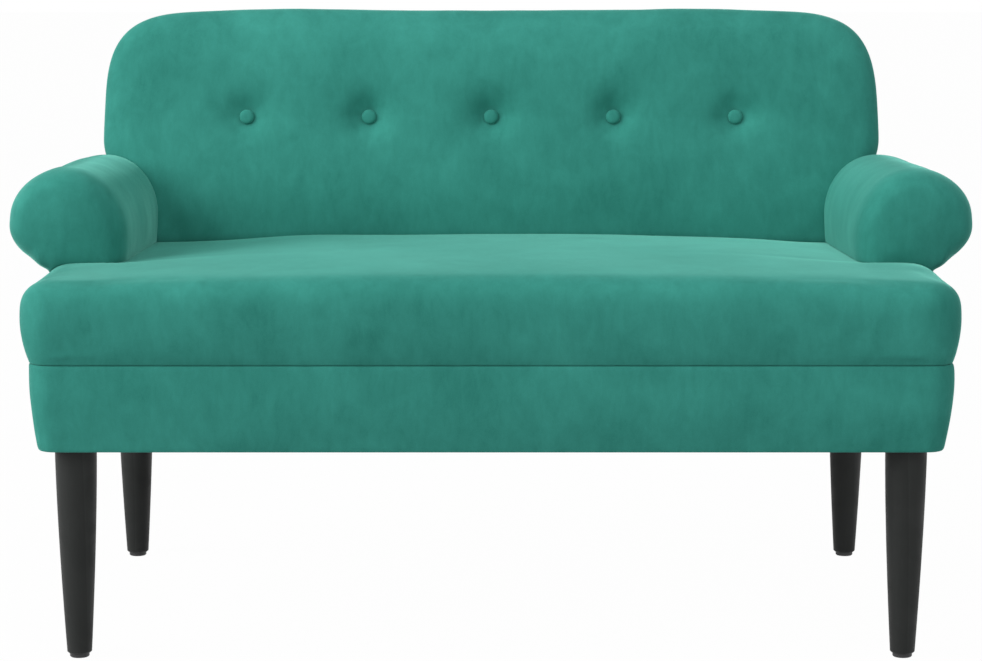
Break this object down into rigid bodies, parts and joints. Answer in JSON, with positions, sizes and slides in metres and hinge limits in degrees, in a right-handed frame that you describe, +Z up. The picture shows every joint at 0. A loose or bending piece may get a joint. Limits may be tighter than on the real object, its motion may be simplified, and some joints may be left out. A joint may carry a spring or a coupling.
{
  "type": "settee",
  "caption": "Upholstered velvet settee with a leaning button-tufted back, rolled arms, a deep seat cushion on a padded base and black tapered legs.",
  "frame": {"origin": "on the floor, under the middle of the settee's bounding box", "axes": "+Z up, the front of the seat faces -Y, +X to the right of a viewer in front"},
  "size_m": [1.1574, 0.7106, 0.7352],
  "materials": {
    "velvet": "satin",
    "leg_black": "satin",
    "glide": "matte",
    "frame_pine": "matte",
    "plywood": "matte",
    "foam": "matte",
    "webbing": "matte",
    "dust_cloth": "matte",
    "zinc_steel": "satin",
    "toggle": "matte",
    "thread": "matte"
  },
  "bodies": {
    "root": {"seat_frame_front_rail": "frame_pine", "seat_frame_rear_rail": "frame_pine", "seat_frame_side_rail_left": "frame_pine", "seat_frame_side_rail_right": "frame_pine", "seat_frame_cross_rail": "frame_pine", "seat_corner_blocks": "frame_pine", "seat_frame_screws": "zinc_steel", "seat_webbing_front_to_rear": "webbing", "seat_webbing_side_to_side": "webbing", "seat_foam": "foam", "seat_cover": "velvet", "base_band_cover": "velvet", "dust_cover": "dust_cloth", "dust_cover_staples": "zinc_steel", "leg_front_left": "leg_black", "leg_front_right": "leg_black", "leg_rear_left": "leg_black", "leg_rear_right": "leg_black", "leg_studs": "zinc_steel", "leg_t_nuts": "zinc_steel", "leg_glides": "glide", "arm_cover_left": "velvet", "arm_cover_right": "velvet", "arm_foam_left": "foam", "arm_foam_right": "foam", "arm_front_board_left": "plywood", "arm_front_board_right": "plywood", "arm_rear_board_left": "plywood", "arm_rear_board_right": "plywood", "arm_top_rail_left": "frame_pine", "arm_top_rail_right": "frame_pine", "arm_base_rail_left": "frame_pine", "arm_base_rail_right": "frame_pine", "arm_bolts": "zinc_steel", "arm_bolt_washers": "zinc_steel", "arm_bolt_t_nuts": "zinc_steel", "back_cover": "velvet", "back_foam": "foam", "back_webbing": "webbing", "back_top_rail": "frame_pine", "back_middle_rail": "frame_pine", "back_bottom_rail": "frame_pine", "back_stile_left": "frame_pine", "back_stile_right": "frame_pine", "back_post_left": "frame_pine", "back_post_right": "frame_pine", "back_frame_screws": "zinc_steel", "back_outer_panel": "velvet", "back_buttons": "velvet", "back_button_threads": "thread", "back_button_toggles": "toggle", "back_bolts": "zinc_steel", "back_bolt_washers": "zinc_steel", "back_bolt_t_nuts": "zinc_steel"}
  },
  "joints": []
}
